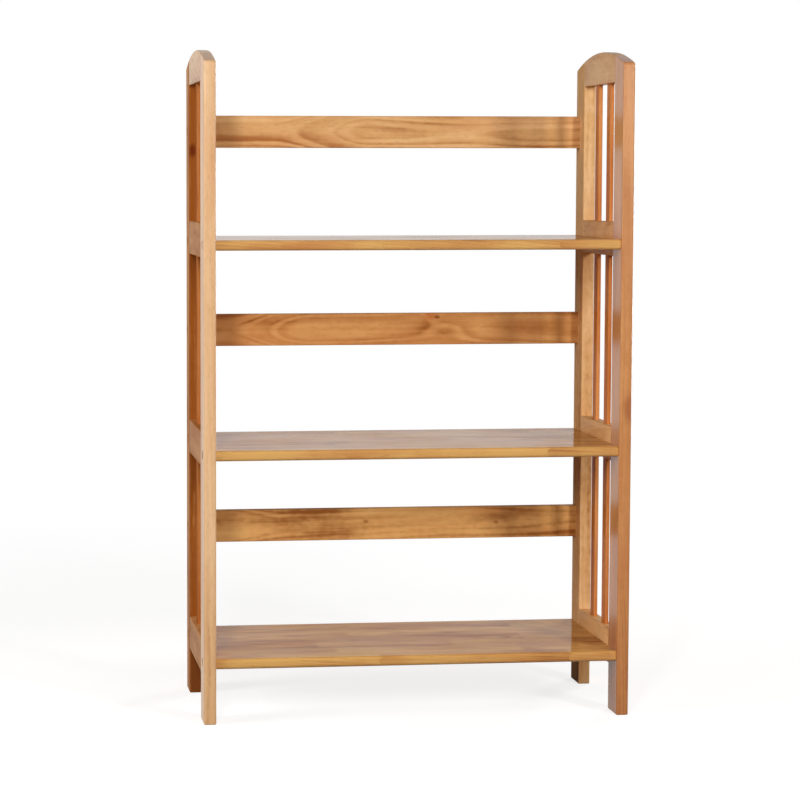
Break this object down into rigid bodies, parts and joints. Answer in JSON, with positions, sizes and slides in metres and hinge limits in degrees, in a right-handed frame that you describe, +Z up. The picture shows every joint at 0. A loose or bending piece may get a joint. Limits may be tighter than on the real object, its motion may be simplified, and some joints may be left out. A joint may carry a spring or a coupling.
{
  "type": "bookcase",
  "caption": "Tall open wooden bookcase with slatted side frames under arched tops, full-depth shelves with rounded front edges and a low back rail above each shelf.",
  "frame": {"origin": "on the floor, under the middle of the bookcase", "axes": "+Z up; +X to the right seen from the front; -Y is the front, where the books go in"},
  "size_m": [0.63, 0.28, 0.98],
  "materials": {
    "post_wood": "clear gloss lacquer on honey-coloured hardwood",
    "side_rail_wood": "clear gloss lacquer on honey-coloured hardwood",
    "slat_wood": "clear gloss lacquer on honey-coloured hardwood",
    "shelf_wood": "clear gloss lacquer on honey-coloured hardwood",
    "back_rail_wood": "clear gloss lacquer on honey-coloured hardwood",
    "dowel_wood": "bare beech",
    "bolt_steel": "dark bronzed steel",
    "nut_steel": "zinc-plated steel"
  },
  "bodies": {
    "root": {"left_front_post": "post_wood", "left_back_post": "post_wood", "left_top_rail": "side_rail_wood", "left_bottom_side_rail": "side_rail_wood", "left_bottom_front_slat": "slat_wood", "left_bottom_back_slat": "slat_wood", "left_middle_side_rail": "side_rail_wood", "left_middle_front_slat": "slat_wood", "left_middle_back_slat": "slat_wood", "left_top_side_rail": "side_rail_wood", "left_top_front_slat": "slat_wood", "left_top_back_slat": "slat_wood", "right_front_post": "post_wood", "right_back_post": "post_wood", "right_top_rail": "side_rail_wood", "right_bottom_side_rail": "side_rail_wood", "right_bottom_front_slat": "slat_wood", "right_bottom_back_slat": "slat_wood", "right_middle_side_rail": "side_rail_wood", "right_middle_front_slat": "slat_wood", "right_middle_back_slat": "slat_wood", "right_top_side_rail": "side_rail_wood", "right_top_front_slat": "slat_wood", "right_top_back_slat": "slat_wood", "bottom_shelf": "shelf_wood", "bottom_back_rail": "back_rail_wood", "middle_shelf": "shelf_wood", "middle_back_rail": "back_rail_wood", "top_shelf": "shelf_wood", "top_back_rail": "back_rail_wood", "shelf_bolts": "bolt_steel", "back_rail_bolts": "bolt_steel", "shelf_barrel_nuts": "nut_steel", "back_rail_barrel_nuts": "nut_steel", "shelf_dowels": "dowel_wood", "back_rail_dowels": "dowel_wood"}
  },
  "joints": []
}
